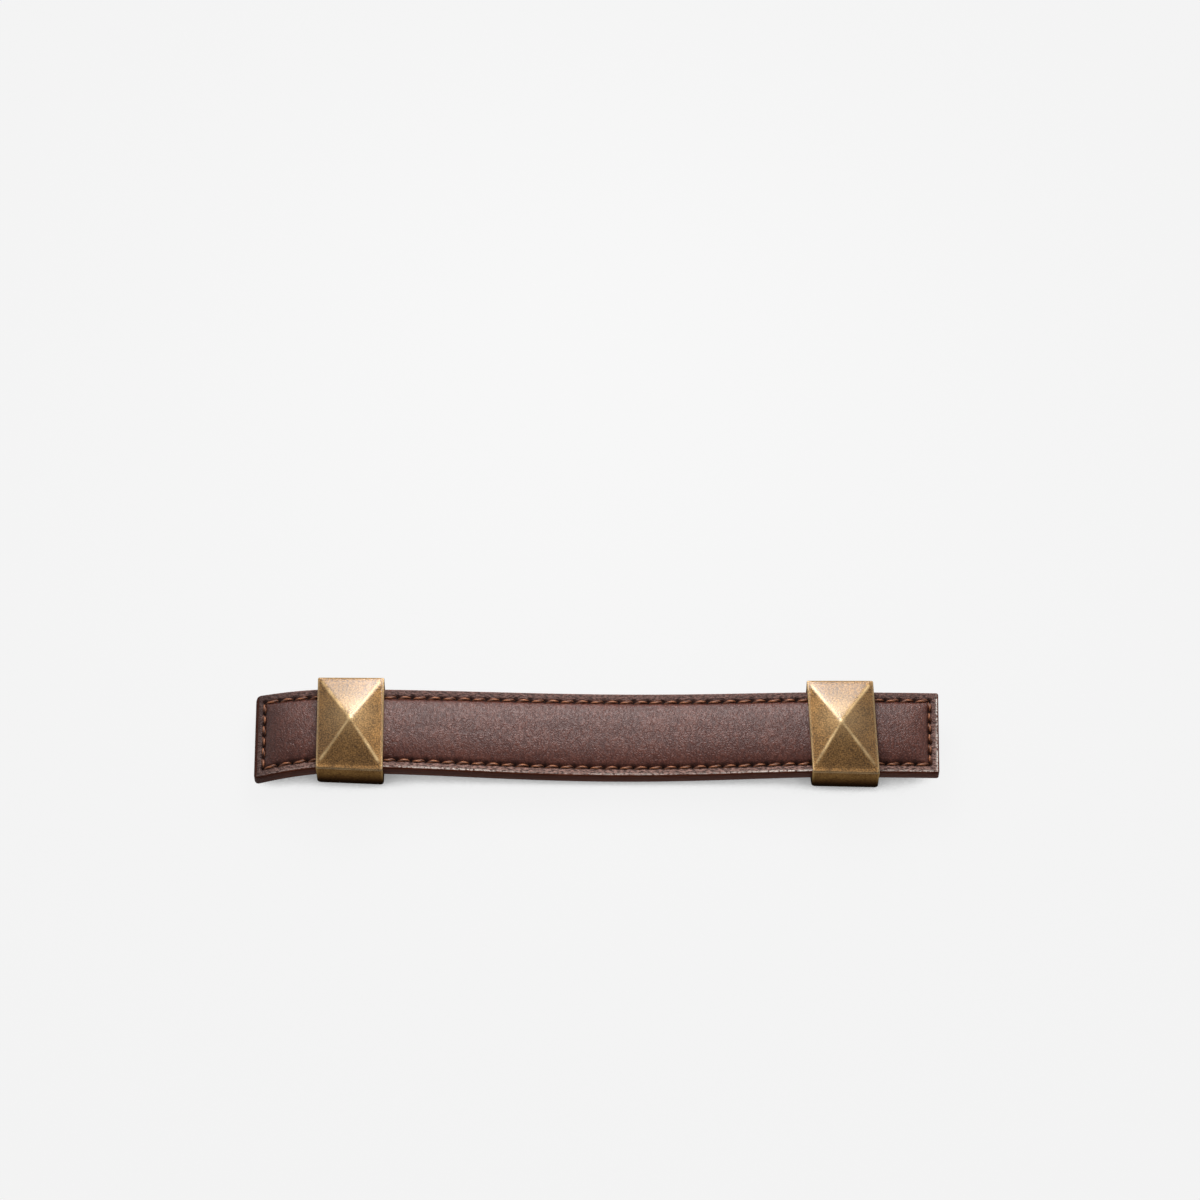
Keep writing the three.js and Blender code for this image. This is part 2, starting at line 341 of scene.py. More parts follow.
# Padding: a strip of wool felt glued between the two leathers inside the stitch line.
# It lifts the face leather into a crown, and can't be seen once the strap is sewn.

felt, tree, bsdf = new_finish("wool_felt", Roughness=1.0, Specular_IOR_Level=0.1)
place = add_node(tree, "ShaderNodeTexCoord").outputs["Object"]
wool = noise(tree, place, 1500.0, 8.0)
tree.links.new(blend(tree, wool, "6f665b", "a89c8c"), bsdf.inputs["Base Color"])
tree.links.new(bump(tree, wool, 0.6, 0.0003), bsdf.inputs["Normal"])
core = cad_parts["padding_core"]
core.data.materials.clear()
core.data.materials.append(felt)


# Face leather: full-grain hide 2.25 mm thick, wax finished, moulded over the padding.
# A round of stitches 2.35 mm in from the edge pulls it down to the lining, so it stands up
# as a crown inside the seam and lies as a flat rough border outside it.

STITCHES_ALONG = 45
STITCHES_ACROSS = 6
SEAM_INNER = 3.1
CROWN = 1.38
CROWN_START = SEAM_INNER - 0.35
CROWN_WIDTH, CROWN_LENGTH = 8.2, 7.0
VALLEY_DEPTH, VALLEY_WIDTH = 0.4, 0.5
PIT_DEPTH, PIT_WIDTH = 0.6, 0.55
UNDERSIDE_RISE = 1.4


def to_nearest_hole(x, y, side, end):
    """Distance in mm to the nearest needle hole, along the long seams and the end seams."""
    seam_x = STRAP_LENGTH / 2 - STITCH_INSET
    seam_y = half_width(x) - STITCH_INSET
    pitch_x = 2 * seam_x / STITCHES_ALONG
    pitch_y = 2 * seam_y / STITCHES_ACROSS
    step_x = (np.clip(x, -seam_x, seam_x) + seam_x) / pitch_x
    step_y = (np.clip(y, -seam_y, seam_y) + seam_y) / pitch_y
    off_x = pitch_x * (step_x - np.round(step_x)) + x - np.clip(x, -seam_x, seam_x)
    off_y = pitch_y * (step_y - np.round(step_y)) + y - np.clip(y, -seam_y, seam_y)
    along_side = np.hypot(off_x, side - STITCH_INSET)
    along_end = np.hypot(off_y, end - STITCH_INSET)
    return np.minimum(along_side, along_end)


def crown(side, end):
    """Pillow of the padding: g(side) g(end), with g(t) = (1 - (1 - t)^2.4)^0.8, where t grows
    from 0 just outside the seam to 1 where the crown is full."""
    share_side = np.clip((side - CROWN_START) / CROWN_WIDTH, 0, 1)
    share_end = np.clip((end - CROWN_START) / CROWN_LENGTH, 0, 1)
    return (1 - (1 - share_side) ** 2.4) ** 0.8 * (1 - (1 - share_end) ** 2.4) ** 0.8


def face_front(x, y, side, end):
    """Crown inside the seam, a valley along it 0.4 mm deep, and a pit at each needle hole."""
    inset = np.minimum(side, end)
    valley = VALLEY_DEPTH * np.exp(-(((inset - STITCH_INSET) / VALLEY_WIDTH) ** 2))
    pit = PIT_DEPTH * np.exp(-((to_nearest_hole(x, y, side, end) / PIT_WIDTH) ** 2))
    return EDGE_THICKNESS + CROWN * crown(side, end) - valley - pit - rounded_over(x, side, end)


def face_underside(x, y, side, end):
    """Flat on the lining outside the padding, and lifted over it as the front is."""
    share = np.clip((np.minimum(side, end) - SEAM_INNER) / 8.0, 0, 1)
    return SPLIT + UNDERSIDE_RISE * np.sin(share * np.pi / 2)


face_leather = leather_sheet(
    "crowned_face_leather",
    across(border_lines, np.linspace(-0.6, 0.6, 44)),
    face_front,
    across(np.array([0.0, SEAM_INNER]), np.linspace(-0.55, 0.55, 5)),
    face_underside,
)

# Painted on it: painted shade in the needle holes, the raw cut line with its painted highlight
# along the near edge and the right end, in patches, the far side, and the burnish with painted
# shade that fades over 14 mm from the left end.
BURNISH_REACH = 14

x, y, z = flat_places(face_leather)
side, end = half_width(x) - np.abs(y), STRAP_LENGTH / 2 - np.abs(x)
front = z > SPLIT + 0.1
raw_run = np.exp(-(((np.minimum(side, end) - EDGE_ROUND) / 0.24) ** 2))
patchy = 0.55 + 0.45 * np.sin(x / 9.5 + 2.6) * np.sin(x / 23.0 - 0.4)
exposed = np.where(end < side, x > 0, (y < 0) * patchy * np.where(x < -62, 0.3, 1))
burnish = 0.75 * np.clip((BURNISH_REACH - end) / BURNISH_REACH, 0, 1) ** 1.2
paint(
    face_leather,
    pits=front * np.exp(-((to_nearest_hole(x, y, side, end) / 0.6) ** 2)),
    raw_line=front * raw_run * exposed,
    far_side=np.clip(0.5 + y / 6, 0, 1),
    burnish=np.where(x < 0, burnish, 0),
)


# Wax-finished full-grain leather: deep brown, with a low sheen broken by pebbles about 0.7
# mm across and by fine wrinkles; the border is rubbed paler and the cut line is raw, with a
# painted highlight on it. Both are drawn a little coarser than real grain, because finer
# relief doesn't show here.
grain, tree, bsdf = new_finish("wax_finished_full_grain", Specular_IOR_Level=0.45)
flat = attribute(tree, "flat", "Vector")
pit = attribute(tree, "pits")
# Pebbles are the cells of a Voronoi pattern, pulled out of line by noise.
drift = noise(tree, flat, 0.9, 3.0, output="Color")
pulled = add_node(
    tree,
    "ShaderNodeVectorMath",
    {0: drift, 1: (1.1, 1.1, 1.1), 2: flat},
    operation="MULTIPLY_ADD",
).outputs[0]
pebble = add_node(
    tree,
    "ShaderNodeTexVoronoi",
    {"Vector": pulled, "Scale": 1.4, "Randomness": 1.0},
    feature="DISTANCE_TO_EDGE",
)
pebble_top = spread(tree, pebble.outputs["Distance"], 0.0, 0.3)
# Fine wrinkles run across the strap, about 0.7 mm apart and 0.03 mm deep with the pebbles.
stretched = add_node(tree, "ShaderNodeMapping", {"Vector": pulled, "Scale": (1.75, 0.6, 1.0)})
wrinkle = noise(tree, stretched.outputs[0], 1.0, 4.0, roughness=0.6)
wrinkle_top = spread(tree, wrinkle, 0.32, 0.68)
relief = calculate(tree, "MULTIPLY_ADD", pebble_top, 0.17, wrinkle)
# Dye lies in broad clouds, deeper between the pebbles and wrinkles, whose tops are rubbed
# paler; this is also painted shade between them and painted sheen on the tops. The left end,
# which was burnished with its edge, is darker, partly painted shade where the tail turns down.
cloud = noise(tree, flat, 0.14, 5.0)
cloudy = calculate(tree, "MULTIPLY_ADD", pebble_top, 0.4, cloud)
rubbed_tops = calculate(tree, "MULTIPLY_ADD", wrinkle_top, 0.8, cloudy)
body = blend(tree, spread(tree, rubbed_tops, 0.84, 1.44), "49231b", "673b30")
# The border's grain is crushed and scuffed in short slanting strokes about 0.5 mm across,
# paler on the near side.
slanting = add_node(
    tree,
    "ShaderNodeMapping",
    {"Vector": flat, "Rotation": (0.0, 0.0, 0.9), "Scale": (0.9, 2.4, 1.0)},
)
stroke = noise(tree, slanting.outputs[0], 1.1, 5.0)
pale_stroke = spread(tree, stroke, 0.4, 0.6)
near_tone = blend(tree, pale_stroke, "3e231b", "9a7469")
far_tone = blend(tree, pale_stroke, "3b221c", "755249")
border_tone = blend(tree, attribute(tree, "far_side"), near_tone, far_tone)
border_mask = spread(tree, attribute(tree, "inset"), 1.5, 2.4, 1.0, 0.0)
with_border = blend(tree, border_mask, body, border_tone)
# The cut line: bare pale fibres with a painted highlight where the edge catches the light,
# in a broken line where the top meets the edge.
unbroken = spread(tree, noise(tree, flat, 1.4, 4.0), 0.42, 0.52)
cut_line = calculate(tree, "MULTIPLY", attribute(tree, "raw_line"), unbroken)
with_line = blend(tree, cut_line, with_border, "eaded4")
# Needle holes are painted nearly black: painted shade in the holes.
pierced = blend(tree, pit, with_line, "0a0403")
# The left end is painted darker: a burnished end, and painted shade on the tail.
burnished = blend(tree, attribute(tree, "burnish"), pierced, "2e130d")
tree.links.new(burnished, bsdf.inputs["Base Color"])
grain_normal = bump(tree, relief, 1.0, 0.00023)
scuffed_normal = bump(tree, stroke, border_mask, 0.00035, Normal=grain_normal)
tree.links.new(scuffed_normal, bsdf.inputs["Normal"])
# Wax shines on the tops of the wrinkles and stays dull between them, on the border and in
# the pits.
wax = spread(tree, wrinkle_top, 0.0, 1.0, 0.46, 0.27)
dulled = calculate(tree, "MULTIPLY_ADD", border_mask, 0.25, wax)
matt_pits = calculate(tree, "MAXIMUM", dulled, pit)
tree.links.new(matt_pits, bsdf.inputs["Roughness"])
finish_leather(face_leather, grain)
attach(face_leather, "root")
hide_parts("face_leather")


# Seam threads: a needle thread in front and a bobbin thread behind, waxed two-ply polyester
# locked together in the needle holes. Each stitch is 3.85 mm from hole to hole, sits proud
# in the middle, where it bulges to 0.74 mm, dives at its ends and leans across the seam.

STEPS = 14
PLY_SIDES = 10
THREAD_RADIUS = 0.37
DIVE = 1.25
LEAN = 0.6
TWIST = 3 * np.pi


def seam_thread(name, surface, facing, proud):
    """A round of stitches as a closed tube of two plies.

    At a share t of a stitch its middle is proud - 1.25 |2t - 1|^3 above the surface and 0.6
    (t - 0.5) mm to the side, less near the holes. At an angle p round it, its radius is
    r (0.3 + 0.7 sin pi t) (1 + 0.15 cos(2p + w)), where w is the twist, 3 pi a stitch.
    """
    corners = [(-1, -1), (1, -1), (1, 1), (-1, 1)]
    runs = []
    for number, start in enumerate(corners):
        stop = corners[(number + 1) % 4]
        stitches = STITCHES_ACROSS if number % 2 else STITCHES_ALONG
        step = np.arange(stitches * STEPS)
        share = step / (stitches * STEPS)
        t = (step % STEPS) / STEPS
        x = (start[0] + (stop[0] - start[0]) * share) * (STRAP_LENGTH / 2 - STITCH_INSET)
        y = (start[1] + (stop[1] - start[1]) * share) * (half_width(x) - STITCH_INSET)
        aside = LEAN * (t - 0.5) * np.minimum(1, np.sin(np.pi * t) * 2.5)
        x = x - aside * (stop[1] - start[1]) / 2
        y = y + aside * (stop[0] - start[0]) / 2
        z = surface + facing * (proud - DIVE * np.abs(2 * t - 1) ** 3)
        runs.append(np.stack([x, y, z, t], axis=-1))
    path = np.concatenate(runs)
    middle, t = path[:, :3], path[:, 3]
    forward = np.roll(middle, -1, axis=0) - np.roll(middle, 1, axis=0)
    forward /= np.linalg.norm(forward, axis=1, keepdims=True)
    outward = np.cross(forward, [0.0, 0.0, 1.0])
    outward /= np.linalg.norm(outward, axis=1, keepdims=True)
    raised = np.cross(outward, forward)
    around = np.arange(PLY_SIDES) / PLY_SIDES * 2 * np.pi
    twist = np.arange(len(middle))[:, None] / STEPS * TWIST
    ply = np.cos(2 * around + twist)
    radius = THREAD_RADIUS * (0.3 + 0.7 * np.sin(np.pi * t))[:, None] * (1 + 0.15 * ply)
    ring = (
        middle[:, None]
        + (radius * np.cos(around))[..., None] * outward[:, None]
        + (radius * np.sin(around))[..., None] * raised[:, None]
    )
    faces = rings_to_faces(len(middle), PLY_SIDES, closed=True)
    rise = np.repeat(np.sin(np.pi * t), PLY_SIDES)
    return make_piece(name, lay(ring), faces, 180, ply=ply, rise=rise, flat=ring)


needle_thread = seam_thread("needle_thread_stitches", EDGE_THICKNESS - 0.3, 1, 0.22)
bobbin_thread = seam_thread("bobbin_thread_stitches", 0.55, -1, 0.1)


# Waxed polyester thread: a satin copper brown, with a painted highlight on the crest of each
# ply and painted shade between the plies and where it dives. Its filaments are drawn 0.2 mm
# apart, coarser than they are, so that they show.
def thread_finish(name, shade, crest):
    """The thread's finish, from its dark and its crest colour."""
    material, tree, bsdf = new_finish(name, Roughness=0.5, Specular_IOR_Level=0.5)
    fibre = noise(tree, attribute(tree, "flat", "Vector"), 4.0, 3.0)
    # The crest colour is a painted highlight on the crests in the middle of each stitch; the shade
    # colour is painted shade between the plies and where the thread dives.
    crested = spread(tree, attribute(tree, "ply"), -1.0, 0.9)
    lit = calculate(tree, "MULTIPLY", crested, attribute(tree, "rise"))
    strong = spread(tree, calculate(tree, "MULTIPLY", lit, fibre), 0.0, 0.55)
    tree.links.new(blend(tree, strong, shade, crest), bsdf.inputs["Base Color"])
    tree.links.new(bump(tree, fibre, 0.4, 0.0001), bsdf.inputs["Normal"])
    return material


needle_thread.data.materials.append(thread_finish("waxed_needle_thread", "3a1b12", "b1704a"))
bobbin_thread.data.materials.append(thread_finish("waxed_bobbin_thread", "3a1f16", "8f5d3e"))
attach(needle_thread, "root")
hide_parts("needle_thread")
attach(bobbin_thread, "root")
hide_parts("bobbin_thread")


# Loops: two sand-cast brass sleeves, filed to a shallow pyramid in front and blackened, then
# rubbed back on their ridges and edges. The strap passes through; an M4 screw from behind
# the drawer front holds each by a tapped hole in its flat back.

LOOP_HALF = 13.02
RIM = 14.2
PEAK = 3.5
FOOT_SIDE, FOOT_FAR, FOOT_NEAR = 8.3, 12.65, 11.6
FRONT_ROUND, BACK_ROUND = 0.5, 5.0
SLOT_HALF = 11.62
SLOT_LOW, SLOT_HIGH, SLOT_ROUND = 5.6, 13.1, 1.0
LIP = 0.25
HOLE_RADIUS, THREAD_DEPTH, THREAD_PITCH = 1.65, 0.35, 0.7


def rounded_ring(half, low, high, front_radius, back_radius, counts):
    """A rounded rectangle in y and z, from its front side round by the near side and the back.

    counts gives the points on the front, a front corner, a side, a back corner and the back;
    each corner is an arc, centre + r (cos, sin).
    """
    front, front_corner, flank, back_corner, back = counts
    turn = np.linspace(0, np.pi / 2, front_corner + 2)[1:-1]
    bend = np.linspace(0, np.pi / 2, back_corner + 2)[1:-1]
    top = np.linspace(half - front_radius, front_radius - half, front)
    near_front = [
        -half + front_radius - front_radius * np.sin(turn),
        high - front_radius + front_radius * np.cos(turn),
    ]
    down = np.linspace(high - front_radius, low + back_radius, flank)
    near_back = [
        -half + back_radius - back_radius * np.cos(bend),
        low + back_radius - back_radius * np.sin(bend),
    ]
    bottom = np.linspace(back_radius - half, half - back_radius, back)
    y = np.concatenate(
        [top, near_front[0], -half + 0 * down, near_back[0], bottom]
        + [-near_back[0][::-1], half + 0 * down, -near_front[0][::-1]]
    )
    z = np.concatenate(
        [high + 0 * top, near_front[1], down, near_back[1], low + 0 * bottom]
        + [near_back[1][::-1], down[::-1], near_front[1][::-1]]
    )
    return np.stack([y, z], axis=-1)


def smooth_max(a, b, width):
    """The larger of two heights, rounded where they cross: (a + b + sqrt((a - b)^2 + w^2)) / 2."""
    return (a + b + np.sqrt((a - b) ** 2 + width**2)) / 2


def facet_drops(x, y, peak_x, peak_y):
    """How far the side facets and the upper and lower facets have fallen from the peak, in mm.

    Each falls evenly, by the whole 3.5 mm, from the peak to 0.4 mm short of the side and far
    edges, and to 1.4 mm short of the near edge.
    """
    reach_x = np.where(x > peak_x, FOOT_SIDE - peak_x, FOOT_SIDE + peak_x)
    reach_y = np.where(y > peak_y, FOOT_FAR - peak_y, FOOT_NEAR + peak_y)
    return PEAK * np.abs(x - peak_x) / reach_x, PEAK * np.abs(y - peak_y) / reach_y


def pyramid(x, y, peak_x, peak_y):
    """Four filed facets, with ridges rounded over about 0.5 mm and a soft foot."""
    fallen = smooth_max(*facet_drops(x, y, peak_x, peak_y), 0.26)
    return smooth_max(PEAK - fallen, 0 * x, 0.12) - 0.03 * (fallen > PEAK)


def cast_loop(name, peak_x, peak_y):
    """One casting, as a wall carried round its section and back through the slot.

    The wall's own line runs over the outside, round the end edge, across the end face and
    back inside. The end edges are rounded by 0.4 mm in front, growing to 1.1 mm behind.
    """
    counts = (125, 4, 26, 9, 30)
    outside = rounded_ring(LOOP_HALF, 0, RIM, FRONT_ROUND, BACK_ROUND, counts)
    inside = rounded_ring(SLOT_HALF, SLOT_LOW, SLOT_HIGH, SLOT_ROUND, SLOT_ROUND, counts)
    wall = inside - outside
    depth = np.linalg.norm(wall, axis=1)
    half = LOOP_WIDTH / 2
    broken = 0.4 + 0.7 * np.clip(1 - outside[:, 1] / RIM, 0, 1)
    arc = np.linspace(0, np.pi / 2, 6)[1:, None]
    run = np.linspace(-1, 1, 84)[:, None] * (half - broken)
    edge_x = half - broken + broken * np.sin(arc)
    edge_in = broken * (1 - np.cos(arc))
    lip_arc = np.linspace(0, np.pi / 2, 5)[1:, None]
    lip_x = half - LIP + LIP * np.cos(lip_arc) + 0 * broken
    lip_in = depth - LIP * (1 - np.sin(lip_arc))
    face_x, face_in = half + 0 * depth[None], depth[None] - LIP
    slot_x = np.linspace(1, -1, 7)[1:-1, None] * (half - LIP) + 0 * broken
    right_x = np.concatenate([edge_x, face_x, lip_x])
    right_in = np.concatenate([edge_in, face_in, lip_in])
    x = np.concatenate([run, right_x, slot_x, -right_x[::-1]])
    inwards = np.concatenate([0 * run, right_in, 0 * slot_x + depth, right_in[::-1]])
    yz = outside + wall / depth[:, None] * inwards[..., None]
    y, z = yz[..., 0], yz[..., 1]
    on_front = (np.arange(len(outside)) < counts[0]) & (inwards < 0.5)
    z = z + np.where(on_front, pyramid(x, y, peak_x, peak_y), 0)
    faces = [quad[::-1] for quad in rings_to_faces(*x.shape, closed=True)]
    return make_piece(name, np.stack([x, y, z], axis=-1), faces, 60)


def threaded_cutter():
    """A screw shape whose radius swings between 1.65 and 2 mm in each 0.7 mm of its length.

    It is made of flat triangles and turned a little, so that its corners miss the casting's
    lines and the cut leaves no stray faces.
    """
    rings, ring = 88, 32
    z = np.linspace(-1.0, SLOT_LOW + 1.0, rings)[:, None]
    around = (np.arange(ring)[None] + 0.3) / ring * 2 * np.pi
    wave = np.abs(2 * ((z / THREAD_PITCH + around / (2 * np.pi)) % 1) - 1)
    radius = HOLE_RADIUS + THREAD_DEPTH * wave
    points = np.stack([radius * np.cos(around), radius * np.sin(around), z + 0 * around], axis=-1)
    quads = rings_to_faces(rings, ring, closed=False)
    faces = [half for a, b, c, d in quads for half in ([c, b, a], [d, c, a])]
    faces.append(list(range(ring))[::-1])
    faces.append(list(range((rings - 1) * ring, rings * ring)))
    return make_piece("thread_cutter", points, faces, 30)


def drilled(piece, cutter):
    """Cuts the tapped hole out of a casting and keeps the result as its mesh."""
    cut = piece.modifiers.new("tapped_hole", "BOOLEAN")
    cut.object = cutter
    cut.operation = "DIFFERENCE"
    cut.solver = "EXACT"
    bpy.context.view_layer.update()
    whole = piece.evaluated_get(bpy.context.evaluated_depsgraph_get())
    mesh = bpy.data.meshes.new_from_object(whole)
    piece.modifiers.clear()
    piece.data = mesh


def settle_loop(piece, peak_x, peak_y, centre, turn_degrees, lean, level, foot):
    """Marks how rubbed each point is, puts the casting out of square and places it on its hole.

    Rub is 1 on ridges, the peak and outer edges, falls off over about 0.4 mm, and is 0.3 over
    some 6 mm about a point 2 mm above the peak: wear where fingers meet it, and a painted
    highlight on the upper facet. lean shears x by y, level shears y by x,
    and foot shortens the lower half towards its left side.
    """
    points = np.zeros(len(piece.data.vertices) * 3, np.float32)
    piece.data.vertices.foreach_get("co", points)
    x, y, z = points.reshape(-1, 3).T.astype(float) * 1000
    fall_x, fall_y = facet_drops(x, y, peak_x, peak_y)
    on_pyramid = np.clip((z - RIM - 0.05) / 0.3, 0, 1)
    patchy = 0.7 + 0.3 * np.sin(0.6 * y + centre) * np.sin(0.9 * x - 0.5 * y)
    ridge = patchy * np.exp(-(((fall_x - fall_y) / 0.2) ** 2)) * on_pyramid
    peak = np.exp(-((np.hypot(x - peak_x, y - peak_y) / 1.0) ** 2)) * on_pyramid
    flank = LOOP_WIDTH / 2 - np.abs(x)
    end_edge = np.exp(-((flank / 0.4) ** 2)) * (z > 3)
    outer = (np.abs(y) > SLOT_HALF + 0.9) | (z > RIM - 0.6)
    rim_edge = patchy * np.exp(-((LOOP_HALF - np.abs(y)) ** 2 + (RIM - z) ** 2) / 0.3**2)
    # Paler patch about the peak, shifted towards the upper facet: wear, and a painted highlight.
    handled = 0.3 * np.exp(-((np.hypot(x - peak_x, y - peak_y - 2) / 6.0) ** 2)) * on_pyramid
    rub = np.maximum.reduce([ridge, peak, 0.6 * end_edge * outer, rim_edge, handled])
    paint(piece, rub=rub, cast=np.stack([x, y, z], axis=-1))
    y_square = np.where(y < 0, y * (1 - foot * (0.5 - x / LOOP_WIDTH)), y) + level * x
    x_square = x + lean * y
    angle = np.radians(turn_degrees)
    moved = np.stack(
        [
            centre + x_square * np.cos(angle) - y_square * np.sin(angle),
            x_square * np.sin(angle) + y_square * np.cos(angle),
            z,
        ],
        axis=-1,
    )
    piece.data.vertices.foreach_set("co", (moved / 1000).astype(np.float32).ravel())
    piece.data.update()


def patinated(name, dark, light, worn, **shader):
    """A cast brass finish: patina mottled in specks of 0.3 mm, worn through where it is rubbed."""
    # The rub mask also carries a painted highlight on the upper facets, so the worn colour shows
    # there too.
    material, tree, bsdf = new_finish(name, Metallic=1.0, **shader)
    cast = attribute(tree, "cast", "Vector")
    mottle = spread(tree, noise(tree, cast, 2.8, 3.0), 0.34, 0.66)
    blotch = calculate(tree, "MULTIPLY_ADD", noise(tree, cast, 0.3, 3.0), 0.9, -0.45)
    clouded = calculate(tree, "ADD", mottle, blotch, use_clamp=True)
    patina = blend(tree, clouded, dark, light)
    broken_rub = calculate(tree, "MULTIPLY_ADD", mottle, 0.3, 0.7)
    rubbed = calculate(tree, "MULTIPLY", attribute(tree, "rub"), broken_rub)
    tree.links.new(blend(tree, rubbed, patina, worn), bsdf.inputs["Base Color"])
    tree.links.new(spread(tree, clouded, 0.0, 1.0, 0.66, 0.56), bsdf.inputs["Roughness"])
    pores = noise(tree, cast, 2.6, 5.0)
    tree.links.new(bump(tree, pores, 0.2, 0.0002), bsdf.inputs["Normal"])
    return material


# Relieved antique brass, for the filed front: brown patina rubbed back to paler metal, and
# a coat of hard wax that gives a whitish gloss over it.
relieved = patinated(
    "relieved_antique_brass",
    "573b19",
    "a07640",
    "e8ca96",
    Specular_Tint=(0.6, 0.5, 0.4, 1.0),
    Coat_Weight=1.0,
    Coat_Roughness=0.15,
)
# Blackened brass, for the sides, back and slot: the same metal left under its full patina,
# brown along the front edge and nearly black and matt towards the back, where the darkening is
# also painted shade near the floor.
BLACKENS_FROM, BLACK_FROM = 12.8, 5.0

blackened = patinated(
    "blackened_antique_brass", "6a5035", "957650", "cfae78", Specular_Tint=(0.34, 0.3, 0.26, 1.0)
)
tree = blackened.node_tree
cast = attribute(tree, "cast", "Vector")
depth = add_node(tree, "ShaderNodeSeparateXYZ", {"Vector": cast}).outputs["Z"]
# Darker towards the back: patina, and painted shade where the casting stands near the floor.
blackening = spread(
    tree, depth, BLACKENS_FROM, BLACK_FROM, to_high=0.95, interpolation_type="SMOOTHSTEP"
)
base_colour = tree.nodes["Principled BSDF"].inputs["Base Color"]
brown = base_colour.links[0].from_socket
tree.links.new(blend(tree, blackening, brown, "1b1511"), base_colour)


def finish_casting(piece):
    """Gives the relieved finish to faces that look forward (normal z > 0.35) above the rim,
    and the blackened finish to the rest."""
    mesh = piece.data
    mesh.materials.append(blackened)
    mesh.materials.append(relieved)
    middles = np.zeros(len(mesh.polygons) * 3, np.float32)
    facing = np.zeros(len(mesh.polygons) * 3, np.float32)
    mesh.polygons.foreach_get("center", middles)
    mesh.polygons.foreach_get("normal", facing)
    in_front = (middles[2::3] > (RIM - 0.6) / 1000) & (facing[2::3] > 0.35)
    mesh.polygons.foreach_set("material_index", in_front.astype(np.int32))


for node, peak_x, peak_y, centre, turn, lean, level, foot in (
    ("left_loop", 0.0, 0.4, -HOLE_SPACING / 2, 0.0, 0.0, 0.0, 0.05),
    ("right_loop", -0.5, 0.3, HOLE_SPACING / 2, 1.5, -0.03, -0.02, 0.03),
):
    casting = cast_loop(node + "_casting", peak_x, peak_y)
    cutter = threaded_cutter()
    drilled(casting, cutter)
    bpy.data.objects.remove(cutter)
    settle_loop(casting, peak_x, peak_y, centre, turn, lean, level, foot)
    finish_casting(casting)
    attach(casting, "root")
    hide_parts(node)


# Floor: a plain pale card, 0.05 mm below the loops' flat backs so that the two don't flicker
# in each other. It shows to the camera and in the metal as the pale ground of the photo,
# shaded close under what stands over it, and its matt surface takes the lamps' shadow.

FLOOR_HALF = 3.0
FLOOR_Z = -5e-5

floor_mesh = bpy.data.meshes.new("pale_floor")
corners = [(-1, -1), (1, -1), (1, 1), (-1, 1)]
floor_mesh.from_pydata(
    [(FLOOR_HALF * right, FLOOR_HALF * up, FLOOR_Z) for right, up in corners], [], [(0, 1, 2, 3)]
)
floor = bpy.data.objects.new("pale_floor", floor_mesh)
bpy.context.scene.collection.objects.link(floor)
card, tree, bsdf = new_finish(
    "matt_pale_card",
    Roughness=1.0,
    Specular_IOR_Level=0.0,
    Base_Color=(0.035, 0.035, 0.035, 1.0),
    Emission_Color=(1.0, 1.0, 1.0, 1.0),
)
ray = add_node(tree, "ShaderNodeLightPath")
seen = calculate(tree, "MAXIMUM", ray.outputs["Is Camera Ray"], ray.outputs["Is Glossy Ray"])
seen_through = calculate(tree, "MAXIMUM", seen, ray.outputs["Is Transmission Ray"])
open_sky = add_node(tree, "ShaderNodeAmbientOcclusion", {"Distance": 0.03}, samples=8)
contact = spread(
    tree, open_sky.outputs["AO"], 0.34, 0.52, to_low=0.3, interpolation_type="SMOOTHSTEP"
)
shown = calculate(tree, "MULTIPLY", seen_through, contact)
glow = calculate(tree, "MULTIPLY", shown, 0.875)
tree.links.new(glow, bsdf.inputs["Emission Strength"])
floor_mesh.materials.append(card)


# Light: a pale room, darker on the side where the camera stands, a wide soft lamp over the
# middle of the pull and a long bright window beyond it, which shows in the upper facets.
# A pale blind over the window, nearer overhead, gives the far half of the crown its sheen.

world = bpy.data.worlds.new("pale_room")
bpy.context.scene.world = world
world.use_nodes = True
tree = world.node_tree
heading = add_node(tree, "ShaderNodeTexCoord").outputs["Generated"]
forth = add_node(tree, "ShaderNodeSeparateXYZ", {"Vector": heading}).outputs["Y"]
room = spread(tree, forth, -0.5, 0.7, 0.17, 0.75)
background = tree.nodes["Background"]
background.inputs["Color"].default_value = (1.0, 1.0, 1.0, 1.0)
tree.links.new(room, background.inputs["Strength"])


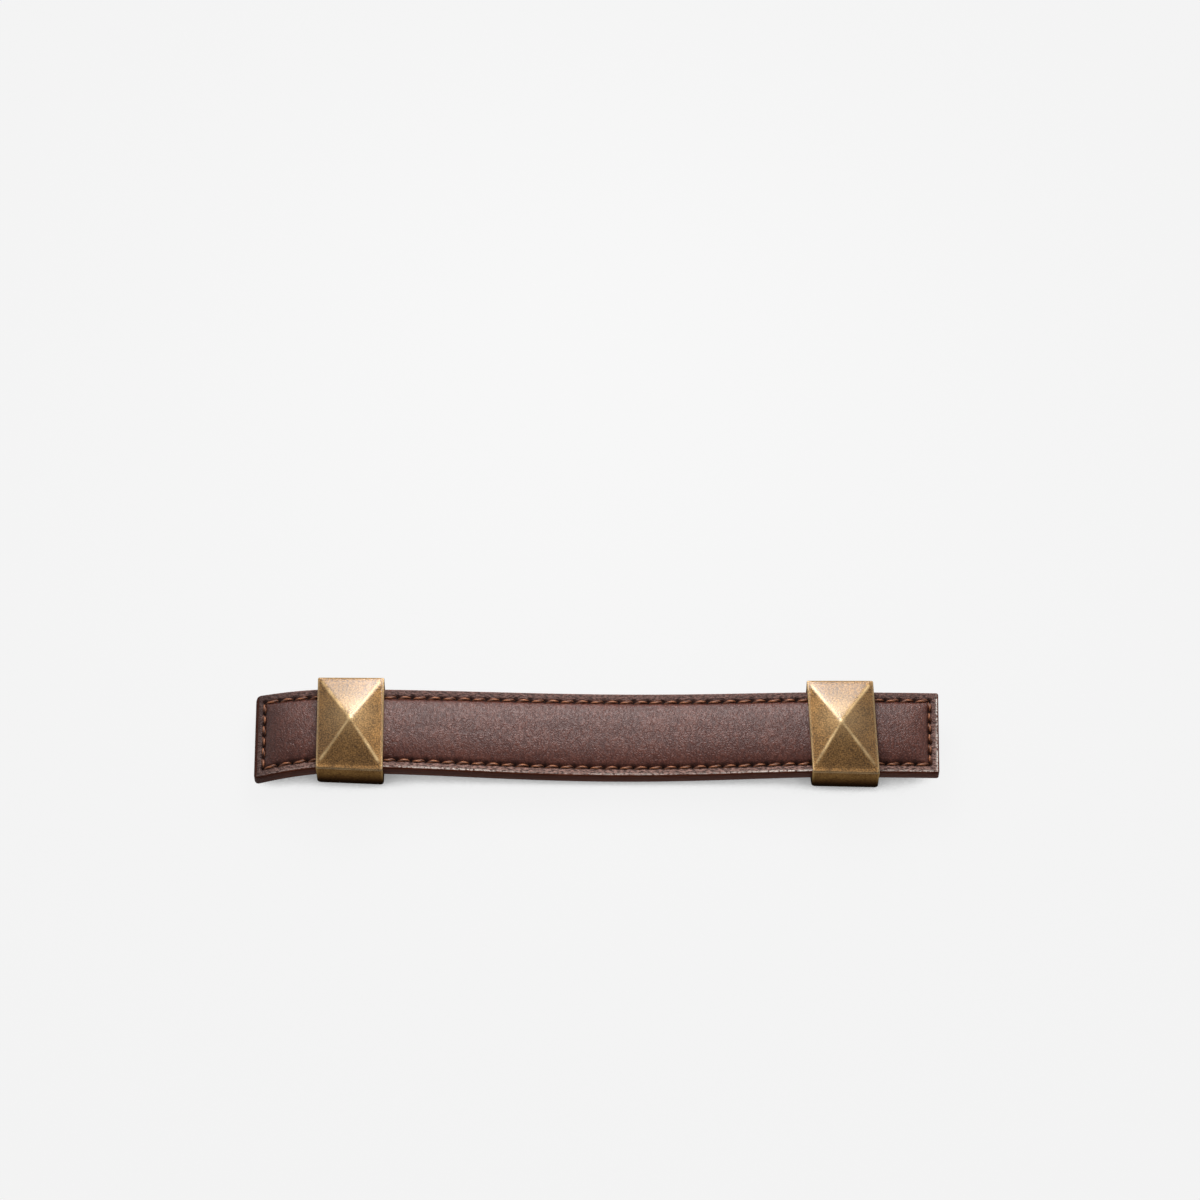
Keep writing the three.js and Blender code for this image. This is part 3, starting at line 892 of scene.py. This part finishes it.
def soft_light(name, width, height, power, place):
    """Adds a rectangular lamp of a power in watts at a place in metres, facing the pull."""
    lamp = bpy.data.lights.new(name, "AREA")
    lamp.shape = "RECTANGLE"
    lamp.size, lamp.size_y = width, height
    lamp.energy = power
    holder = bpy.data.objects.new(name, lamp)
    bpy.context.scene.collection.objects.link(holder)
    away = np.array(place) / np.linalg.norm(place)
    right = np.cross([0.0, 0.0, 1.0], away)
    right = right / np.linalg.norm(right)
    turn = Matrix(np.stack([right, np.cross(away, right), away], axis=1).tolist())
    holder.matrix_world = Matrix.Translation(place) @ turn.to_4x4()


soft_light("softbox", 0.13, 0.13, 0.31, (-0.003, 0.125, 0.155))
soft_light("window", 0.32, 0.085, 0.42, (-0.01, 0.488, 0.348))
soft_light("window_blind", 0.34, 0.15, 0.52, (-0.01, 0.43, 0.42))


# Camera: square on to the strap's length and 22.6 degrees below its front, with a long lens.
# Its frame is 1200 by 1200 pixels, 6000 pixels of focal length make a 180 mm lens, and the
# origin falls on the pixel (596.5, 746.2) of the photo.

FRAME = 1200
FOCAL = 6000.0
SENSOR = 36.0
MM_PER_PIXEL = 0.2596
FACE_HEIGHT = 13.0
PULL_X, PULL_Y = 596.5, 746.2

away = FOCAL * MM_PER_PIXEL + FACE_HEIGHT
below, roll = np.radians(22.6), np.radians(0.35)
back = np.array([0.0, -np.sin(below), np.cos(below)])
level = np.array([1.0, 0.0, 0.0])
rise = np.cross(back, level)
right = level * np.cos(roll) + rise * np.sin(roll)
up = rise * np.cos(roll) - level * np.sin(roll)
middle = FRAME / 2
aim = (middle - PULL_X) * MM_PER_PIXEL * right + (PULL_Y - middle) * MM_PER_PIXEL * up
camera_data = bpy.data.cameras.new("long_lens")
camera_data.sensor_width = SENSOR
camera_data.lens = FOCAL / FRAME * SENSOR
camera_data.clip_end = 20.0
camera = bpy.data.objects.new("long_lens", camera_data)
bpy.context.scene.collection.objects.link(camera)
turn = Matrix(np.stack([right, up, back], axis=1).tolist())
camera.matrix_world = Matrix.Translation(((aim + back * away) / 1000).tolist()) @ turn.to_4x4()
bpy.context.scene.camera = camera
bpy.context.scene.view_settings.view_transform = "Standard"
